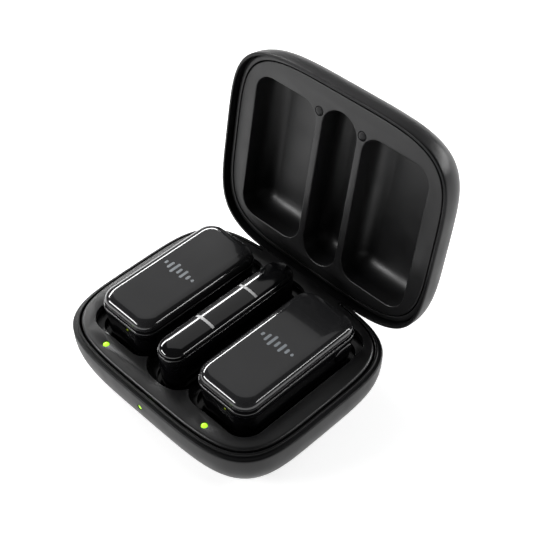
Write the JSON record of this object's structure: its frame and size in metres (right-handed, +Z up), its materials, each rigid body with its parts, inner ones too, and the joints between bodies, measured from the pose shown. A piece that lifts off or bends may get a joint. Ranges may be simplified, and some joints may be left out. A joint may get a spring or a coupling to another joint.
{
  "type": "wireless microphone set in a charging case",
  "caption": "Clam-shell charging case with a hinged lid, holding clip-on wireless microphone transmitters and a slim plug-in receiver.",
  "frame": {"origin": "centre of the case's flat underside", "axes": "+Z up, +X along the case's width (parallel to the lid hinge), -Y towards the front of the case"},
  "size_m": [0.077, 0.0858, 0.0744],
  "materials": {
    "soft_black": "soft-touch moulded, near black",
    "deck_grey": "fine-grained moulded, dark grey",
    "liner_grey": "satin moulded, dark grey",
    "gloss_black": "polished, black",
    "cap_grey": "polished, dark grey",
    "light_lime": "lit light pipe, lime green",
    "light_grey": "light pipe, pale grey",
    "steel": "bright steel",
    "gold": "gold-plated contacts",
    "magnet": "nickel-plated magnet",
    "board": "green circuit board with its parts",
    "battery": "wrapped lithium cell"
  },
  "bodies": {
    "base": {"base_shell": "soft_black", "deck_frame": "deck_grey", "well_tray": "gloss_black", "deck_light_left": "light_lime", "deck_light_right": "light_lime", "front_light": "light_lime", "case_board": "board", "case_battery": "battery", "case_usb_port": "steel", "receiver_socket": "gloss_black", "charge_contacts_left": "gold", "charge_contacts_right": "gold", "hinge_pin": "steel", "base_magnet_left": "magnet", "base_magnet_right": "magnet", "tray_screw_front_left": "steel", "tray_screw_front_right": "steel", "tray_screw_back_left": "steel", "tray_screw_back_right": "steel"},
    "lid": {"lid_shell": "soft_black", "lid_liner": "liner_grey", "lid_frame": "liner_grey", "lid_bumper_left": "soft_black", "lid_bumper_right": "soft_black", "lid_magnet_left": "magnet", "lid_magnet_right": "magnet"},
    "receiver": {"receiver_housing": "gloss_black", "receiver_cover": "gloss_black", "receiver_light_bar_front": "light_grey", "receiver_light_bar_back": "light_grey", "receiver_board": "board", "receiver_usb_plug": "steel"},
    "transmitter_left": {"transmitter_left_body": "gloss_black", "transmitter_left_cap": "cap_grey", "transmitter_left_status_light": "light_lime", "transmitter_left_board": "board", "transmitter_left_battery": "battery", "transmitter_left_mic_capsule": "steel", "transmitter_left_charge_pads": "gold", "transmitter_left_clip_pin": "steel", "transmitter_left_clip_spring": "steel"},
    "transmitter_left_button": {"transmitter_left_button": "gloss_black"},
    "transmitter_left_clip": {"transmitter_left_clip": "soft_black"},
    "transmitter_right": {"transmitter_right_body": "gloss_black", "transmitter_right_cap": "cap_grey", "transmitter_right_status_light": "light_lime", "transmitter_right_board": "board", "transmitter_right_battery": "battery", "transmitter_right_mic_capsule": "steel", "transmitter_right_charge_pads": "gold", "transmitter_right_clip_pin": "steel", "transmitter_right_clip_spring": "steel"},
    "transmitter_right_button": {"transmitter_right_button": "gloss_black"},
    "transmitter_right_clip": {"transmitter_right_clip": "soft_black"}
  },
  "joints": [
    {"name": "lid_hinge", "type": "hinge", "parent": "base", "child": "lid", "pos_m": [0, 0.0304, 0.0142], "axis": [-1, 0, 0], "range_deg": [-100.1, 0]},
    {"name": "transmitter_left_lift", "type": "slide", "parent": "base", "child": "transmitter_left", "axis": [0, 0, 1], "range_m": [0, 0.02]},
    {"name": "transmitter_left_button_press", "type": "slide", "parent": "transmitter_left", "child": "transmitter_left_button", "axis": [-1, 0, 0], "range_m": [0, 0.0004], "stiffness_N_per_m": 1500, "springref_m": -0.0005},
    {"name": "transmitter_left_clip_open", "type": "hinge", "parent": "transmitter_left", "child": "transmitter_left_clip", "pos_m": [-0.01887, 0.0169, 0.0105], "axis": [1, 0, 0], "range_deg": [0, 4.5], "stiffness_Nm_per_rad": 0.3, "springref_deg": -8.59},
    {"name": "transmitter_right_lift", "type": "slide", "parent": "base", "child": "transmitter_right", "axis": [0, 0, 1], "range_m": [0, 0.02]},
    {"name": "transmitter_right_button_press", "type": "slide", "parent": "transmitter_right", "child": "transmitter_right_button", "axis": [-1, 0, 0], "range_m": [0, 0.0004], "stiffness_N_per_m": 1500, "springref_m": -0.0005},
    {"name": "transmitter_right_clip_open", "type": "hinge", "parent": "transmitter_right", "child": "transmitter_right_clip", "pos_m": [0.01887, 0.0169, 0.0105], "axis": [1, 0, 0], "range_deg": [0, 4.5], "stiffness_Nm_per_rad": 0.3, "springref_deg": -8.59},
    {"name": "receiver_lift", "type": "slide", "parent": "base", "child": "receiver", "axis": [0, 0, 1], "range_m": [0, 0.02]}
  ]
}
